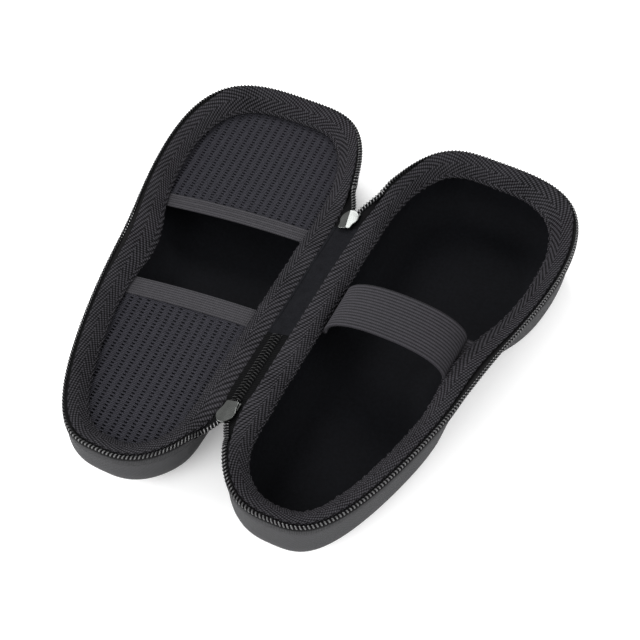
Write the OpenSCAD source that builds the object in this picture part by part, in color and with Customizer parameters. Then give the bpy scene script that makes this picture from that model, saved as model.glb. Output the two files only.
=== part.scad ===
// Hard case for an electric shaver: two moulded shells joined by a cloth hinge, shown open.
// The origin is on the base's flat underside, +Z is up and +Y points to the wide head end.
// The lid lies open on the -X side. All sizes are in millimetres.

/* [Outline of the rim] */
// Length of the case over the zip coils
case_length = 208; // [196:1:224]
// Half width on the free side, at the middle of the length
free_half_width = 46.8; // [44:0.1:52]
// Half width on the hinge side, at the middle of the length
hinge_half_width = 41.3; // [40:0.1:43]
// How much the free side widens towards the head, per millimetre
free_taper = 0.1425; // [0.08:0.0025:0.17]
// How much the hinge side widens towards the head, per millimetre
hinge_taper = -0.0226; // [-0.04:0.0002:0.02]
// Lean of the long axis towards the free side at the head, per millimetre
outline_lean = 0.046; // [0.02:0.002:0.07]
// Squareness of the head end (2 is an ellipse)
head_square = 3.37; // [2.8:0.01:4]
// Squareness of the tail end on the free side
tail_square_free = 3.49; // [2.8:0.01:4]
// Squareness of the tail end on the hinge side
tail_square_hinge = 2.28; // [2.1:0.01:2.6]

/* [Shells] */
// Depth of the base below the closing plane
base_depth = 35; // [32:0.5:42]
// Slope of the base's wall over its whole depth
base_draft = 2.3; // [1:0.1:4]
// Radius of the base's bottom edge
base_corner = 16; // [12:0.5:18]
// Slope of the lid's wall over its whole depth
lid_draft = 0.8; // [0.5:0.1:3]
// Radius of the lid's back edge
lid_corner = 17; // [12:0.5:18]
// Thickness of the moulded foam with its outer cloth
shell_wall = 3; // [2.4:0.1:3.6]
// Thickness of the lining
lining_wall = 0.8; // [0.6:0.1:1]
// Height of the zip tape, from the shell's edge to the closing plane
tape_height = 6.5; // [6.4:0.1:8]
// How far the shell's face stays inside the coil's outer edge
shell_inset = 0.8; // [0.4:0.1:1.2]

/* [Pinch in the free side] */
// How far the free wall is drawn in
pinch_depth = 14; // [8:0.5:16]
// Place of the pinch along the case
pinch_y = 2; // [-10:1:10]
// Half length of the pinch
pinch_spread = 22; // [18:1:28]
// Depth below the closing plane at which the pinch is full
pinch_full = 23; // [20:0.5:26]

/* [Collar and zip] */
// Width of the webbing collar, across its slope
collar_width = 8.3; // [7:0.1:9.5]
// How far the collar falls towards the inside
collar_fall = 5.7; // [5:0.1:6]
// How far the padding lifts the collar's middle
collar_crown = 1.1; // [0.6:0.1:1.6]
// Thickness of the collar's inner lip
collar_lip = 0.9; // [0.7:0.1:1.2]
// Diameter of an open zip coil
coil_d = 2.5; // [2:0.1:3]
// Thickness of the zip tape
tape_wall = 0.8; // [0.6:0.1:1]

/* [Cloth hinge] */
// Distance of the base's fold line from the middle of the outline
fold_x = 34; // [33:0.1:35]
// Depth of each fold line below its own closing plane
fold_drop = 6; // [5.6:0.1:6.2]
// Slope of the hinge cloth when the case lies open
cloth_slope = 19.5; // [12:0.5:26]
// Thickness of the hinge cloth
cloth_wall = 1; // [0.8:0.1:1.4]
// Diameter of the rolled edge on each fold line
roll_d = 1.8; // [1.5:0.1:2]
// End of the woven panel nearest the tail
panel_start = -21; // [-26:1:-16]
// Length of the woven panel
panel_length = 64; // [58:1:66]
// Length of the closed zip chain below the panel
chain_length = 36; // [32:1:38]

/* [Zip sliders] */
// Length of a slider
slider_length = 11.5; // [10:0.5:12.5]
// Width of a slider
slider_width = 8; // [7.4:0.1:8.6]
// Thickness of a slider's wing
wing_wall = 1.1; // [0.9:0.1:1.3]
// Diameter of each coil inside the closed chain
chain_coil_d = 2; // [1.6:0.1:2.2]
// Travel of the lower slider along the straight chain
lower_travel = 28; // [10:1:28]
// Travel of the upper slider up to the start of the curved rim
upper_travel = 4; // [2:0.5:5]
// Length of a pull tab, from its cross bar
pull_length = 18; // [14:0.5:20]
// Width of a pull tab
pull_width = 6; // [5.4:0.2:7]
// Thickness of a pull tab
pull_wall = 1.2; // [0.8:0.1:1.4]

/* [Elastic strap] */
// Width of the strap
strap_width = 23.5; // [18:0.5:28]
// Thickness of the strap
strap_wall = 1.4; // [1:0.1:1.8]
// Height of the strap's crown over the closing plane
strap_crown = 4.6; // [0:0.1:5]
// Place of the strap along the case
strap_y = 0.5; // [-10:0.5:10]

/* [Mesh pockets] */
// Thickness of the mesh
mesh_wall = 1; // [0.8:0.1:1.2]
// Thickness of a pocket's hem
hem_wall = 1.6; // [1.4:0.1:1.8]
// Height of the tail pocket's edge along the case
tail_edge = -14; // [-24:1:-8]
// Height of the head pocket's edge along the case
head_edge = 27.5; // [20:0.5:36]
// Width of the tail pocket's hem
tail_hem = 9.5; // [7:0.5:12]
// Width of the head pocket's hem
head_hem = 7.5; // [6:0.5:10]
// Slant of both edges, per millimetre of width
edge_slant = 0.13; // [0.08:0.01:0.18]
// Spacing of the gaps across a pocket
gap_pitch_x = 6; // [5.5:0.5:9]
// Spacing of the gaps along a pocket
gap_pitch_y = 5; // [4.6:0.2:8]
// Length of a gap
gap_length = 3; // [2:0.5:4]
// Width of a gap
gap_width = 1.2; // [1:0.1:2]

/* [Clearances] */
// Gap between the two coils when the case is closed
closing_gap = 0.3; // [0.2:0.05:0.6]
// Gap between layers that lie on each other
layer_gap = 0.1; // [0.05:0.01:0.15]
// Gap round a moving piece
move_gap = 0.3; // [0.2:0.05:0.35]

/* [Hidden] */

// Points round a rim, and the extra crowding of them along the two long sides, in degrees
rim_points = 72;
side_crowding = 11.5;
// Share of the free half width over which the pinch fades out
pinch_reach = 0.6;
// Steps along an open length of coil or tape
coil_steps = 84;
// Sides of a coil's round section
coil_sides = 8;
// Roundness of the corner where the straight hinge wall meets the curved rim
wall_blend = 1.2;

// The hinge cloth spans both tapes when the case is closed
cloth_width = 2 * fold_drop + closing_gap;
cloth_fall = cloth_width * sin(cloth_slope);
lid_fold_x = -fold_x - cloth_width * cos(cloth_slope);
// The lid's back lies on the same table as the base
lid_depth = base_depth - cloth_fall;

// The straight hinge wall stands clear of the rolled edge
wall_x = -fold_x + roll_d / 2 + move_gap;
// The closing plane cuts the gap between the two coils in half
coil_z = -closing_gap / 2 - coil_d / 2;
// The collar starts just inside the coil
collar_inset = coil_d + 2 * layer_gap;
collar_top = -closing_gap - 1;
// How far the rim dips beside the hinge, for the coil and for the collar's outer edge
coil_dip = fold_drop - 1.8;
collar_dip = fold_drop - 2.4;
// Length of curved rim over which the dip grows, measured across the case
dip_run = 3.2;

// The seam strip lies between the shell's edge and the collar
seam_wall = 0.8;
seam_top = -tape_height + layer_gap + seam_wall;
collar_floor = -tape_height + 1.5 * layer_gap;
// Depth of the collar's flat underside, and of the pockets and linings below it
collar_depth = collar_fall - collar_top + collar_lip;
pocket_depth = collar_depth + layer_gap;
strap_steps = 20;

chain_start = panel_start - layer_gap - chain_length;
panel_end = panel_start + panel_length;
lower_slider_y = chain_start + 0.5 - slider_length / 2;
upper_slider_y = panel_end + move_gap + slider_length / 2;
// The curved coils start past the sliders' reach
coil_head_y = upper_slider_y + slider_length / 2 + upper_travel + move_gap;
coil_tail_y = lower_slider_y - slider_length / 2 - move_gap;

// Inside of a slider: the channel for the coils and the slot for the tapes
chain_offset = chain_coil_d / 2 + 0.5;
channel_half = chain_coil_d / 2 + 0.2;
web_wall = 0.5;
slot_half = cloth_wall / 2 + 0.2;
wing_outer = channel_half + wing_wall;
bar_d = 1.4;
bar_drop = wing_outer + move_gap + bar_d / 2;
bridge_wall = 0.9;
bridge_width = 2;

// Outline of the rim. t is in degrees, from the head end round the free side
function spread(t) = t + side_crowding * sin(2 * t);
function squareness(c, s) =
    c >= 0 ? head_square : s >= 0 ? tail_square_free : tail_square_hinge;
function unit_reach(c, s, n) = pow(pow(abs(c), n) + pow(abs(s), n), -1 / n);
function half_width(s, y) =
    s >= 0 ? free_half_width + free_taper * y : hinge_half_width + hinge_taper * y;
function rim_xy(t, inset) =
    let (a = spread(t), c = cos(a), s = sin(a))
    let (r = unit_reach(c, s, squareness(c, s)))
    let (y = (case_length / 2 - inset) * c * r)
    [(half_width(s, y) - inset) * s * r + outline_lean * y, y];

// The pinch grows with depth and fades towards both ends and the middle of the case
function pinch(p, depth) =
    let (out = max(0, min(1, p.x / (pinch_reach * free_half_width))))
    pinch_depth * min(1, depth / pinch_full) * out * out * (3 - 2 * out)
    * exp(-pow((p.y - pinch_y) / pinch_spread, 2));
function soft_max(a, b) = b + wall_blend * ln(1 + exp((a - b) / wall_blend));
// How far along the dip beside the hinge a point is, from 0 to 1
function dip(p) = max(0, min(1, (wall_x - p.x) / dip_run));

// A point of a layer: inset from the rim, wall_in from the hinge wall, and height z
function layer_point(t, inset, wall_in, z) =
    let (p = rim_xy(t, inset))
    [soft_max(p.x - pinch(p, -z), wall_x + wall_in), p.y, z];
function ring(inset, wall_in, z) =
    [for (i = [0 : rim_points - 1]) layer_point(360 * i / rim_points, inset, wall_in, z)];

// Skin over rows of points: each row is a closed loop, and the ends are capped or joined.
// From the row named turned on, each quad is cut along its other diagonal, so that an
// inner face is cut as the outer face that lies against it
module skin(rows, joined = false, turned = 1000) {
    n = len(rows[0]);
    last = len(rows) - 1;
    spans = joined ? last : last - 1;
    points = [for (row = rows) each row];
    sides = [for (j = [0 : spans], i = [0 : n - 1])
        let (k = (j + 1) % len(rows), m = (i + 1) % n)
        each j < turned
            ? [[j * n + i, k * n + m, k * n + i], [j * n + i, j * n + m, k * n + m]]
            : [[j * n + i, j * n + m, k * n + i], [j * n + m, k * n + m, k * n + i]]];
    caps = joined ? [] : [[for (i = [n - 1 : -1 : 0]) i],
        [for (i = [0 : n - 1]) last * n + i]];
    polyhedron(points = points, faces = concat(sides, caps), convexity = 8);
}

// Profile of a moulded wall: offset from the outer face, from the floor up to its edge
function wall_rows(offset, depth, draft, corner, edge) =
    let (r = corner - offset, floor_at = depth - offset)
    let (bend = [for (a = [90, 66, 44, 22, 0]) [floor_at - r + r * sin(a), r * (1 - cos(a))]])
    let (straight = [[(floor_at - r + edge) / 2, 0], [edge, 0]])
    [for (p = concat(bend, straight))
        let (wall_in = offset + draft * p[0] / depth + p[1])
        ring(shell_inset + wall_in, wall_in, -p[0])];
function reversed(rows) = [for (i = [len(rows) - 1 : -1 : 0]) rows[i]];

module cup(outer, inner, depth, draft, corner, edge) {
    face = wall_rows(outer, depth, draft, corner, edge);
    skin(concat(face, reversed(wall_rows(inner, depth, draft, corner, edge))),
        turned = len(face));
}

module moulded_shell(depth, draft, corner) {
    cup(0, shell_wall, depth, draft, corner, tape_height);
}

module lining(depth, draft, corner) {
    outer = shell_wall + layer_gap;
    cup(outer, outer + lining_wall, depth, draft, corner, pocket_depth + layer_gap);
}

// Padded webbing collar: crowned top, thin inner lip and a step over the shell's edge
function collar_top_row(share) =
    [for (i = [0 : rim_points - 1])
        let (t = 360 * i / rim_points, across = collar_width * share)
        let (low = collar_dip * dip(rim_xy(t, 0)) * (1 - share))
        let (z = collar_top - collar_fall * share + collar_crown * sin(180 * share) - low)
        layer_point(t, collar_inset + across, across, z)];
function collar_step_row(inset, wall_in) =
    [for (i = [0 : rim_points - 1])
        let (t = 360 * i / rim_points)
        let (lift = (seam_top + layer_gap - collar_floor) * dip(rim_xy(t, 0)))
        layer_point(t, inset, wall_in, collar_floor + lift)];
module collar(depth, draft) {
    step_in = shell_wall + draft * collar_depth / depth + 2 * layer_gap;
    lip_in = collar_width - collar_lip / 2;
    skin(concat([for (share = [0, 0.25, 0.5, 0.75, 1]) collar_top_row(share)],
        [ring(collar_inset + lip_in, lip_in, -collar_depth),
            ring(shell_inset + step_in, step_in, -collar_depth),
            collar_step_row(shell_inset + step_in, step_in),
            collar_step_row(collar_inset, 0)]), joined = true);
}

// The open coil and its tape run from the upper slider round the head to the lower one
function hinge_side_t(y, low = 180, high = 360, steps = 24) =
    let (mid = (low + high) / 2)
    steps == 0 ? mid : rim_xy(mid, 0).y > y ? hinge_side_t(y, low, mid, steps - 1)
        : hinge_side_t(y, mid, high, steps - 1);
function free_side_t(y, low = 0, high = 180, steps = 24) =
    let (mid = (low + high) / 2)
    steps == 0 ? mid : rim_xy(mid, 0).y > y ? free_side_t(y, mid, high, steps - 1)
        : free_side_t(y, low, mid, steps - 1);
function zip_path() =
    let (start = hinge_side_t(coil_head_y) - 360, end = hinge_side_t(coil_tail_y))
    [for (i = [0 : coil_steps]) start + (end - start) * i / coil_steps];
function zip_point(t, inset, z) =
    let (p = rim_xy(t, inset))
    [p.x - pinch(p, -z), p.y, z];
module zip_coil() {
    skin([for (t = zip_path())
        let (z = coil_z - coil_dip * dip(rim_xy(t, 0)), r = coil_d / 2)
        [for (i = [0 : coil_sides - 1])
            let (a = -360 * i / coil_sides)
            zip_point(t, r - r * cos(a), z + r * sin(a))]]);
}
module zip_tape() {
    half = tape_wall / 2;
    skin([for (t = zip_path())
        let (top = coil_z - coil_d / 2 - layer_gap - coil_dip * dip(rim_xy(t, 0)))
        let (foot = -tape_height + layer_gap / 2)
        [zip_point(t, coil_d / 2 - half, top - half / 2),
            layer_point(t, shell_inset + layer_gap, layer_gap, foot),
            layer_point(t, shell_inset + layer_gap + tape_wall, layer_gap + tape_wall,
                foot + half),
            zip_point(t, coil_d / 2 + half, top)]]);
}

// Strip under the collar that carries the hinge cloth's stitching
module hinge_seam() {
    translate([wall_x, chain_start, -tape_height + layer_gap])
        cube([shell_wall, panel_end - chain_start, seam_wall]);
}

// Strap: tucked under the collar at both sides, bowed up over the middle of the base
strap_floor = -collar_depth - 2 * layer_gap - strap_wall / 2;
strap_tuck = shell_wall + lining_wall + 4 * layer_gap + base_draft * collar_depth / base_depth;
strap_hinge_end = wall_x + strap_tuck + base_draft * strap_wall / base_depth;
strap_hinge_lip = wall_x + collar_width + move_gap + strap_wall / 2;
function free_wall_x(y, wall_in, depth) =
    layer_point(free_side_t(y), shell_inset + wall_in, wall_in, -depth).x;
function strap_limit(wall_in, depth) =
    min([for (k = [-1, -0.5, 0, 0.5, 1])
        free_wall_x(strap_y + k * strap_width / 2, wall_in, depth)]);
strap_free_end = strap_limit(strap_tuck, -strap_floor + strap_wall) - 2 * layer_gap;
strap_free_lip = strap_limit(collar_inset - shell_inset + collar_width, collar_depth)
    - move_gap - strap_wall / 2;
function strap_line() =
    let (mid = (strap_hinge_lip + strap_free_lip) / 2, reach = strap_free_lip - mid)
    let (rise = strap_crown - strap_wall / 2 - strap_floor, n = 2.3)
    concat([[strap_hinge_end, strap_floor]],
        [for (i = [0 : strap_steps])
            let (a = 180 - 180 * i / strap_steps)
            [mid + reach * sign(cos(a)) * pow(abs(cos(a)), 2 / n),
                strap_floor + rise * pow(sin(a), 2 / n)]],
        [[strap_free_end, strap_floor]]);
function normal_at(line, i) =
    let (a = line[max(i - 1, 0)], b = line[min(i + 1, len(line) - 1)], d = b - a)
    [-d.y, d.x] / norm(d);
module strap() {
    line = strap_line();
    low = strap_y - strap_width / 2;
    skin([for (i = [0 : len(line) - 1])
        let (p = line[i], side = normal_at(line, i) * strap_wall / 2)
        [[p.x + side.x, low + strap_width, p.y + side.y],
            [p.x - side.x, low + strap_width, p.y - side.y],
            [p.x - side.x, low, p.y - side.y], [p.x + side.x, low, p.y + side.y]]]);
}

// Pocket: an area inside the lining, on one side of a slanted edge
function edge_at(edge, x) = edge - edge_slant * x;
module pocket_outline(wall_in) {
    depth = pocket_depth + hem_wall;
    far = shell_wall + lining_wall + 2 * layer_gap + lid_draft * depth / lid_depth + wall_in;
    polygon([for (p = ring(shell_inset + far, far, -depth)) [p.x, p.y]]);
}
module band(low, high) {
    reach = case_length / 2;
    polygon([[-reach, edge_at(low, -reach)], [reach, edge_at(low, reach)],
        [reach, edge_at(high, reach)], [-reach, edge_at(high, -reach)]]);
}
module pocket_sheet(low, high, wall) {
    translate([0, 0, -pocket_depth - (hem_wall + wall) / 2]) linear_extrude(wall)
        intersection() {
            pocket_outline(layer_gap);
            band(low, high);
        }
}
module pocket_mesh(low, high) {
    margin = gap_pitch_x / 2;
    columns = ceil(1.2 * free_half_width / gap_pitch_x);
    rows = ceil(case_length / 2 / gap_pitch_y);
    difference() {
        pocket_sheet(low, high, mesh_wall);
        translate([0, 0, -pocket_depth - 2 * hem_wall]) linear_extrude(3 * hem_wall)
            intersection() {
                pocket_outline(collar_width + margin / 2);
                band(low + margin, high - margin);
                for (i = [-columns : columns], j = [-rows : rows])
                    let (x = i * gap_pitch_x + outline_lean * j * gap_pitch_y)
                        translate([x - gap_width / 2, edge_at(j * gap_pitch_y, x)])
                            square([gap_width, gap_length]);
            }
    }
}

// Hinge cloth: plates that end in a round roll on each fold line
module fold_roll(x, start, length) {
    translate([x, start, 0]) rotate([-90, 0, 0]) cylinder(d = roll_d, h = length, $fn = 24);
}
module cloth_plate(from_x, to_x, start, length, wall) {
    translate([from_x, start, -wall / 2]) cube([to_x - from_x, length, wall]);
}
module on_cloth() {
    translate([-fold_x, 0, base_depth - fold_drop]) rotate([0, -cloth_slope, 0]) children();
}
module on_chain() {
    on_cloth() translate([-cloth_width / 2, 0, 0]) children();
}
// The base's layers are drawn from its closing plane, and the lid's are their mirror image
module in_base() {
    translate([0, 0, base_depth]) children();
}
module in_lid() {
    translate([lid_fold_x, 0, base_depth - fold_drop - cloth_fall]) mirror([1, 0, 0])
        translate([fold_x, 0, fold_drop]) children();
}

// Slider: two wings joined by a web between the coils, with rims that hold the tapes
module wing_outline() {
    corner = 1.4;
    x = slider_width / 2 - corner;
    y = slider_length / 2 - corner;
    hull() {
        for (side = [-1, 1]) {
            translate([side * x, y - slider_length / 6]) circle(corner, $fn = 24);
            translate([side * x * 0.55, y]) circle(corner, $fn = 24);
            translate([side * x * 0.75, -y]) circle(corner, $fn = 24);
        }
    }
}
module slider_body() {
    rim = slider_width / 2 - chain_offset - chain_coil_d / 2 - move_gap;
    foot_y = bar_d / 2 + move_gap + pull_wall;
    bridge_drop = bar_drop + bar_d / 2 + move_gap + bridge_wall;
    for (side = [0, 1]) mirror([0, 0, side]) {
        translate([0, 0, channel_half]) linear_extrude(wing_wall) wing_outline();
        for (edge = [0, 1]) mirror([edge, 0, 0])
            translate([slider_width / 2 - rim, -slider_length / 4, slot_half])
                cube([rim, slider_length / 2, channel_half - slot_half + wing_wall / 2]);
    }
    translate([-web_wall / 2, -slider_length / 3, -channel_half - wing_wall / 2])
        cube([web_wall, slider_length * 2 / 3, 2 * channel_half + wing_wall]);
    for (side = [0, 1]) mirror([0, side, 0])
        translate([-bridge_width / 2, foot_y, -bridge_drop])
            cube([bridge_width, bridge_wall, bridge_drop - wing_outer + wing_wall / 2]);
    translate([-bridge_width / 2, -foot_y - bridge_wall, -bridge_drop])
        cube([bridge_width, 2 * (foot_y + bridge_wall), bridge_wall]);
}
module pull_tab() {
    arm_in = bridge_width / 2 + move_gap;
    arm_wall = 1;
    neck = norm([bar_d / 2 + move_gap + pull_wall + bridge_wall,
        bar_d / 2 + move_gap + bridge_wall]) + move_gap;
    bar_length = 2 * (arm_in + arm_wall);
    translate([0, 0, -bar_drop]) {
        translate([-bar_length / 2, 0, 0]) rotate([0, 90, 0])
            cylinder(d = bar_d, h = bar_length, $fn = 24);
        for (side = [0, 1]) mirror([side, 0, 0])
            translate([arm_in, -pull_wall / 2, -neck - 1]) cube([arm_wall, pull_wall, neck + 1]);
        translate([-pull_width / 2, -pull_wall / 2, -pull_length + pull_width / 2])
            cube([pull_width, pull_wall, pull_length - pull_width / 2 - neck]);
        translate([0, pull_wall / 2, -pull_length + pull_width / 2]) rotate([90, 0, 0])
            cylinder(d = pull_width, h = pull_wall, $fn = 36);
    }
}

module base_shell() {
    color("#3d3c40") in_base() moulded_shell(base_depth, base_draft, base_corner);
}
module base_lining() {
    color("#141417") in_base() lining(base_depth, base_draft, base_corner);
}
module base_binding() {
    color("#4a484c") in_base() collar(base_depth, base_draft);
}
module base_zip_tape() {
    color("#1c1c1e") in_base() zip_tape();
}
module base_zip_coil() {
    color("#77777a") in_base() zip_coil();
}
module base_hinge_seam() {
    color("#1c1c1e") in_base() hinge_seam();
}
module elastic_strap() {
    color("#39383d") in_base() strap();
}
module hinge_panel() {
    color("#242427") on_cloth() {
        cloth_plate(-cloth_width, 0, panel_start, panel_length, cloth_wall);
        fold_roll(0, panel_start, panel_length);
        fold_roll(-cloth_width, panel_start, panel_length);
    }
}
module chain_tape_base_side() {
    edge = -cloth_width / 2 + chain_offset + chain_coil_d / 2 + layer_gap;
    color("#1c1c1e") on_cloth() {
        cloth_plate(edge, 0, chain_start, chain_length, tape_wall);
        fold_roll(0, chain_start, chain_length);
    }
}
module chain_tape_lid_side() {
    edge = -cloth_width / 2 - chain_offset - chain_coil_d / 2 - layer_gap;
    color("#1c1c1e") on_cloth() {
        cloth_plate(-cloth_width, edge, chain_start, chain_length, tape_wall);
        fold_roll(-cloth_width, chain_start, chain_length);
    }
}
module chain_coil(side) {
    color("#77777a") on_chain() translate([side * chain_offset, chain_start, 0])
        rotate([-90, 0, 0]) cylinder(d = chain_coil_d, h = chain_length, $fn = 24);
}
module chain_coil_base_side() {
    chain_coil(1);
}
module chain_coil_lid_side() {
    chain_coil(-1);
}
module lower_slider() {
    color("#6e6f70") on_chain() translate([0, lower_slider_y, 0]) mirror([0, 1, 0])
        slider_body();
}
module lower_pull_tab() {
    color("#6e6f70") on_chain() translate([0, lower_slider_y, 0]) pull_tab();
}
module upper_slider() {
    color("#8a8a8c") on_chain() translate([0, upper_slider_y, 0]) slider_body();
}
module upper_pull_tab() {
    color("#8a8a8c") on_chain() translate([0, upper_slider_y, 0]) pull_tab();
}
module lid_shell() {
    color("#3d3c40") in_lid() moulded_shell(lid_depth, lid_draft, lid_corner);
}
module lid_lining() {
    color("#141417") in_lid() lining(lid_depth, lid_draft, lid_corner);
}
module lid_binding() {
    color("#4a484c") in_lid() collar(lid_depth, lid_draft);
}
module lid_zip_tape() {
    color("#1c1c1e") in_lid() zip_tape();
}
module lid_zip_coil() {
    color("#77777a") in_lid() zip_coil();
}
module lid_hinge_seam() {
    color("#1c1c1e") in_lid() hinge_seam();
}
module tail_pocket_mesh() {
    color("#34333b") in_lid() pocket_mesh(-case_length, tail_edge - tail_hem - layer_gap);
}
module tail_pocket_hem() {
    color("#45444a") in_lid() pocket_sheet(tail_edge - tail_hem, tail_edge, hem_wall);
}
module head_pocket_mesh() {
    color("#34333b") in_lid() pocket_mesh(head_edge + head_hem + layer_gap, case_length);
}
module head_pocket_hem() {
    color("#45444a") in_lid() pocket_sheet(head_edge, head_edge + head_hem, hem_wall);
}

base_shell();
base_lining();
base_binding();
base_zip_tape();
base_zip_coil();
base_hinge_seam();
elastic_strap();
hinge_panel();
chain_tape_base_side();
chain_tape_lid_side();
chain_coil_base_side();
chain_coil_lid_side();
lower_slider();
lower_pull_tab();
upper_slider();
upper_pull_tab();
lid_shell();
lid_lining();
lid_binding();
lid_zip_tape();
lid_zip_coil();
lid_hinge_seam();
tail_pocket_mesh();
tail_pocket_hem();
head_pocket_mesh();
head_pocket_hem();
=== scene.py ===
import math

import bpy
import numpy as np
from mathutils import Matrix, Vector


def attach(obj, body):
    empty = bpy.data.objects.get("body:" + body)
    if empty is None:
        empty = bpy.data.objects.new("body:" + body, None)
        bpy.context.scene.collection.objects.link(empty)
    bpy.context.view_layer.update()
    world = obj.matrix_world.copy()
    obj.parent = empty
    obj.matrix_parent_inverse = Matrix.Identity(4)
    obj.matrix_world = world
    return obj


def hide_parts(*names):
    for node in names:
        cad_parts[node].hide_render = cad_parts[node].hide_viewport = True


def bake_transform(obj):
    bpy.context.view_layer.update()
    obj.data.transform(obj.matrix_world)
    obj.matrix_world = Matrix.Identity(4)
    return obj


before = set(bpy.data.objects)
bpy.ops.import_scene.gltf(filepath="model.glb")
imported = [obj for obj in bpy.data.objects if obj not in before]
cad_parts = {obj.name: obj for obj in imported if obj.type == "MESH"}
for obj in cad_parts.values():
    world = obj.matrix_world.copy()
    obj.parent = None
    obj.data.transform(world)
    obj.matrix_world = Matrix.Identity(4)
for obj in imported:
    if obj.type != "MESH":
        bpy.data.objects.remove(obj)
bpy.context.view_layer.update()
bpy.ops.object.select_all(action="DESELECT")

# Camera, lights and table. The case stands open on a white table under large soft lamps,
# and is seen from the right-hand front, well above the table.
camera_aim = Vector((-0.02546, -0.01199, 0.035))
camera_distance, camera_lens = 0.6238, 86.1
swing, height, tilt = math.radians(25.19), math.radians(53.11), math.radians(1.205)
flat_back = Vector((math.sin(swing), -math.cos(swing), 0))
back = flat_back * math.cos(height) + Vector((0, 0, math.sin(height)))
level = Vector((math.cos(swing), math.sin(swing), 0))
upward = back.cross(level)
across = level * math.cos(tilt) + upward * math.sin(tilt)
upward = upward * math.cos(tilt) - level * math.sin(tilt)
bpy.ops.object.camera_add(location=camera_aim + back * camera_distance)
camera = bpy.context.object
camera.name = "camera"
camera.rotation_euler = Matrix((across, upward, back)).transposed().to_euler()
camera.data.sensor_width = 36
camera.data.lens = camera_lens
camera.data.clip_start = 0.01
bpy.context.scene.camera = camera

bpy.ops.mesh.primitive_plane_add(size=6, location=(0, 0, -0.0002))
table = bpy.context.object
table.name = "table"
table_white = bpy.data.materials.new("table_white")
table_white.use_nodes = True
for socket, value in (
    ("Base Color", (0.93, 0.93, 0.93, 1)),
    ("Roughness", 0.9),
    ("Specular IOR Level", 0.1),
    ("Emission Color", (1, 1, 1, 1)),
    ("Emission Strength", 0.22),
):
    table_white.node_tree.nodes["Principled BSDF"].inputs[socket].default_value = value
table.data.materials.append(table_white)

room = bpy.context.scene.world or bpy.data.worlds.new("room")
bpy.context.scene.world = room
room.use_nodes = True
room.node_tree.nodes["Background"].inputs["Color"].default_value = (1, 1, 1, 1)
room.node_tree.nodes["Background"].inputs["Strength"].default_value = 0.74
bpy.context.scene.view_settings.view_transform = "Standard"
lamp_aim = Vector((-0.03, 0, 0.02))
for lamp_name, spot, size, power in (
    ("lamp_behind", (-0.55, 0.62, 0.75), 0.45, 7),
    ("lamp_right", (0.95, -0.1, 0.6), 0.6, 6),
    ("lamp_front", (-0.3, -0.95, 0.7), 0.8, 11),
    ("lamp_left", (-1.0, -0.25, 0.35), 0.6, 7),
):
    bpy.ops.object.light_add(type="AREA", location=spot)
    lamp = bpy.context.object
    lamp.name = lamp_name
    lamp.data.size = size
    lamp.data.energy = power
    lamp.rotation_euler = (Vector(spot) - lamp_aim).to_track_quat("Z", "Y").to_euler()

# The two shells. Each is foam with a fine twill skin, heat-moulded to one outline: straight
# beside the hinge, wide at the head end and pinched on the free side. The lid is shallower.
MM = 0.001
case_length = 208
free_half_width, free_taper = 46.8, 0.1425
hinge_half_width, hinge_taper = 41.3, -0.0226
outline_lean = 0.046
head_square, tail_free_square, tail_hinge_square = 3.37, 3.49, 2.28
side_crowding = 11.5
pinch_reach, pinch_full, pinch_y, pinch_spread = 14, 23, 2, 22
wall_x, wall_rounding = -32.8, 1.2
depths = {"base": 35.0, "lid": 30.894}
drafts = {"base": 2.3, "lid": 0.8}
corners = {"base": 16.0, "lid": 17.0}
lid_offset_x = -79.594
shell_wall, rim_drop, rim_roll = 3.0, 6.5, 0.6
shell_inset, floor_reach = 0.8, 25.2


def ramp(value, start, length):
    """From 0 to 1 over a length, and level on both sides of it."""
    return np.clip((value - start) / length, 0, 1)


def ease(share):
    """The same way from 0 to 1, with soft ends."""
    return share * share * (3 - 2 * share)


def bell(value, middle, spread):
    """A soft hump round a middle."""
    return np.exp(-(((value - middle) / spread) ** 2))


def rim_xy(t, inset):
    """The rim's outline. t is in degrees, from the head end round the free side."""
    a = np.radians(t + side_crowding * np.sin(np.radians(2 * t)))
    c, s = np.cos(a), np.sin(a)
    tail_square = np.where(s >= 0, tail_free_square, tail_hinge_square)
    square = np.where(c >= 0, head_square, tail_square)
    reach = (np.abs(c) ** square + np.abs(s) ** square) ** (-1 / square)
    y = (case_length / 2 - inset) * c * reach
    free, hinge = free_half_width + free_taper * y, hinge_half_width + hinge_taper * y
    return (np.where(s >= 0, free, hinge) - inset) * s * reach + outline_lean * y, y


def pinch(x, y, depth):
    """How far the free side is drawn in, growing with depth."""
    out = ease(ramp(x, 0, 0.6 * free_half_width))
    return pinch_reach * ramp(depth, 0, pinch_full) * out * bell(y, pinch_y, pinch_spread)


def layer(t, inset, wall_in, z):
    """Points of a layer of the case, in millimetres from the closing plane."""
    x, y = rim_xy(t, inset)
    x = x - pinch(x, y, -z)
    wall = wall_x + wall_in
    x = wall + wall_rounding * np.logaddexp(0, (x - wall) / wall_rounding)
    return np.column_stack([x, y, z + 0 * x])


def settle(half, points):
    """From millimetres under a half's own closing plane to its place on the table."""
    if half == "base":
        return (points + [0, 0, depths["base"]]) * MM
    return (points * [-1, 1, 1] + [lid_offset_x, 0, depths["lid"]]) * MM


def runs(points):
    """The length run through at each point of a line."""
    return np.concatenate([[0], np.cumsum(np.linalg.norm(np.diff(points, axis=0), axis=1))])


turn_fine = np.linspace(0, 360, 4001)
rim_fine = layer(turn_fine, 0, 0, -1.0)
rim_run = runs(rim_fine)
rim_length = rim_run[-1]


def turn_at(u):
    """The turn, in degrees, at a share u of the rim's length."""
    return np.interp(u * rim_length, rim_run, turn_fine)


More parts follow.
